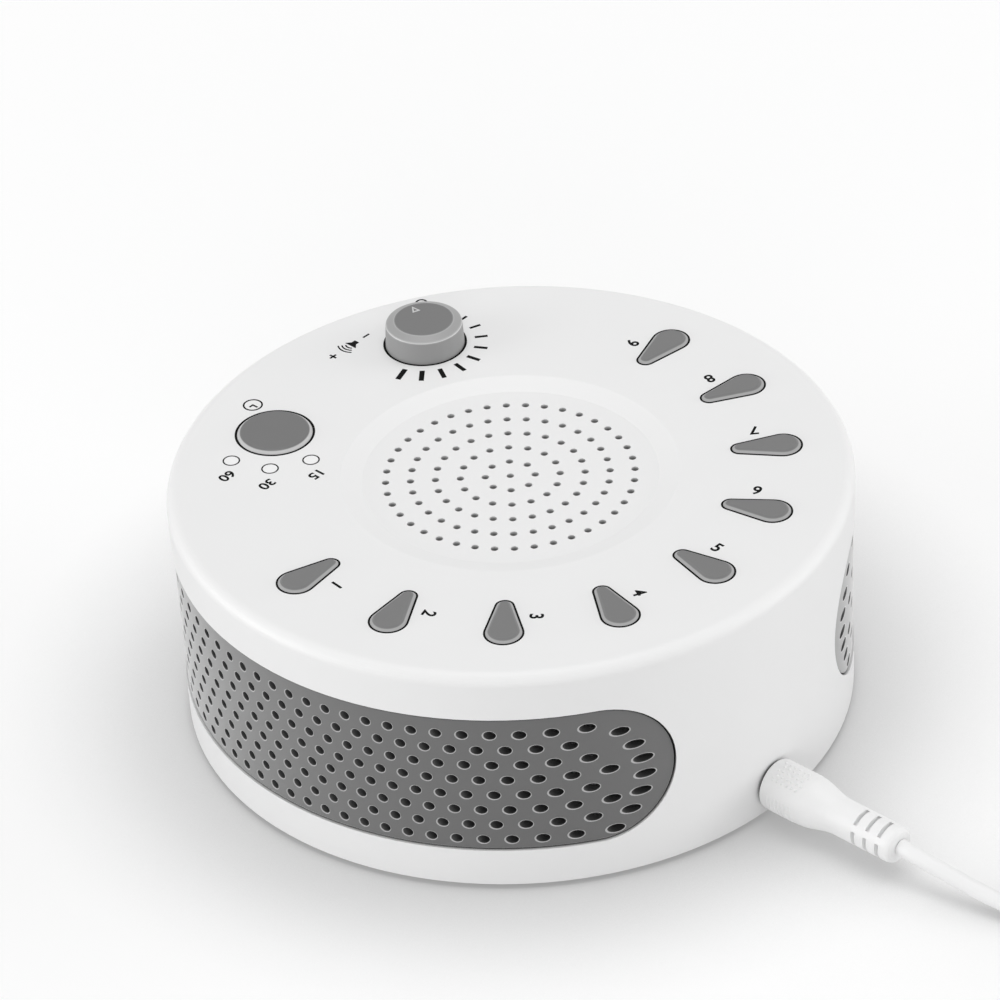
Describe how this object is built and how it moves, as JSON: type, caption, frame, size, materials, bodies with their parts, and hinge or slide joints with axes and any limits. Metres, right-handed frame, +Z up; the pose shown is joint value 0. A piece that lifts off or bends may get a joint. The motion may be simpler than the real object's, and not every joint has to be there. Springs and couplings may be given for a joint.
{
  "type": "white noise sound machine",
  "caption": "Round tabletop white noise machine: drilled speaker dish, half ring of teardrop sound keys, timer button, volume knob, drilled side bands, white DC lead with USB plug.",
  "frame": {"origin": "middle of the housing's footprint, on the surface it stands on", "axes": "+Z up through the speaker, -Y towards the user (timer and knob side), +Y towards the lead"},
  "size_m": [0.1637, 0.2579, 0.0589],
  "materials": {
    "white_housing": "fine satin texture",
    "grey_plastic": "satin",
    "band_grey": "satin",
    "light_window": "translucent white",
    "speaker_steel": "black",
    "speaker_magnet": "dark ferrite",
    "cone_paper": "black, matt",
    "gasket_foam": "foam",
    "screw_steel": "zinc",
    "board_green": "solder mask",
    "switch_black": "satin",
    "plunger_ivory": "satin",
    "shaft_metal": "satin",
    "foot_rubber": "matt",
    "white_lead": "soft PVC",
    "plug_nickel": "nickel plated",
    "tie_black": "satin",
    "print_ink": "pad-printed ink"
  },
  "bodies": {
    "housing": {"top_cover": "white_housing", "base_cover": "white_housing", "side_band_right": "band_grey", "side_band_left": "band_grey", "light_windows": "light_window", "speaker_basket": "speaker_steel", "speaker_magnet": "speaker_magnet", "speaker_cone": "cone_paper", "speaker_gasket": "gasket_foam", "speaker_screws": "screw_steel", "main_board": "board_green", "tact_switches": "switch_black", "volume_potentiometer": "switch_black", "status_leds": "light_window", "sound_chip": "switch_black", "board_screws": "screw_steel", "base_screws": "screw_steel", "rubber_feet": "foot_rubber", "dc_jack": "switch_black", "jack_pin": "plug_nickel", "dc_plug": "white_lead", "plug_barrel": "plug_nickel", "power_cord": "white_lead", "cord_coil": "white_lead", "coil_tie": "tie_black", "cord_tail": "white_lead", "usb_plug": "white_lead", "usb_shell": "plug_nickel"},
    "key_1": {"sound_key_1": "grey_plastic", "key_plunger_1": "plunger_ivory"},
    "key_2": {"sound_key_2": "grey_plastic", "key_plunger_2": "plunger_ivory"},
    "key_3": {"sound_key_3": "grey_plastic", "key_plunger_3": "plunger_ivory"},
    "key_4": {"sound_key_4": "grey_plastic", "key_plunger_4": "plunger_ivory"},
    "key_5": {"sound_key_5": "grey_plastic", "key_plunger_5": "plunger_ivory"},
    "key_6": {"sound_key_6": "grey_plastic", "key_plunger_6": "plunger_ivory"},
    "key_7": {"sound_key_7": "grey_plastic", "key_plunger_7": "plunger_ivory"},
    "key_8": {"sound_key_8": "grey_plastic", "key_plunger_8": "plunger_ivory"},
    "key_9": {"sound_key_9": "grey_plastic", "key_plunger_9": "plunger_ivory"},
    "timer": {"timer_button": "grey_plastic", "timer_plunger": "plunger_ivory"},
    "knob": {"volume_knob": "grey_plastic", "volume_shaft": "shaft_metal"}
  },
  "joints": [
    {"name": "key_1_press", "type": "slide", "parent": "housing", "child": "key_1", "axis": [0, 0, -1], "range_m": [0, 0.0005], "stiffness_N_per_m": 3200, "springref_m": -0.0001},
    {"name": "key_2_press", "type": "slide", "parent": "housing", "child": "key_2", "axis": [0, 0, -1], "range_m": [0, 0.0005], "stiffness_N_per_m": 3200, "springref_m": -0.0001},
    {"name": "key_3_press", "type": "slide", "parent": "housing", "child": "key_3", "axis": [0, 0, -1], "range_m": [0, 0.0005], "stiffness_N_per_m": 3200, "springref_m": -0.0001},
    {"name": "key_4_press", "type": "slide", "parent": "housing", "child": "key_4", "axis": [0, 0, -1], "range_m": [0, 0.0005], "stiffness_N_per_m": 3200, "springref_m": -0.0001},
    {"name": "key_5_press", "type": "slide", "parent": "housing", "child": "key_5", "axis": [0, 0, -1], "range_m": [0, 0.0005], "stiffness_N_per_m": 3200, "springref_m": -0.0001},
    {"name": "key_6_press", "type": "slide", "parent": "housing", "child": "key_6", "axis": [0, 0, -1], "range_m": [0, 0.0005], "stiffness_N_per_m": 3200, "springref_m": -0.0001},
    {"name": "key_7_press", "type": "slide", "parent": "housing", "child": "key_7", "axis": [0, 0, -1], "range_m": [0, 0.0005], "stiffness_N_per_m": 3200, "springref_m": -0.0001},
    {"name": "key_8_press", "type": "slide", "parent": "housing", "child": "key_8", "axis": [0, 0, -1], "range_m": [0, 0.0005], "stiffness_N_per_m": 3200, "springref_m": -0.0001},
    {"name": "key_9_press", "type": "slide", "parent": "housing", "child": "key_9", "axis": [0, 0, -1], "range_m": [0, 0.0005], "stiffness_N_per_m": 3200, "springref_m": -0.0001},
    {"name": "timer_press", "type": "slide", "parent": "housing", "child": "timer", "axis": [0, 0, -1], "range_m": [0, 0.0005], "stiffness_N_per_m": 3200, "springref_m": -0.0001},
    {"name": "volume_turn", "type": "hinge", "parent": "housing", "child": "knob", "pos_m": [-0.02319, -0.0455, 0.05], "axis": [0, 0, 1], "range_deg": [-230, 0]}
  ]
}
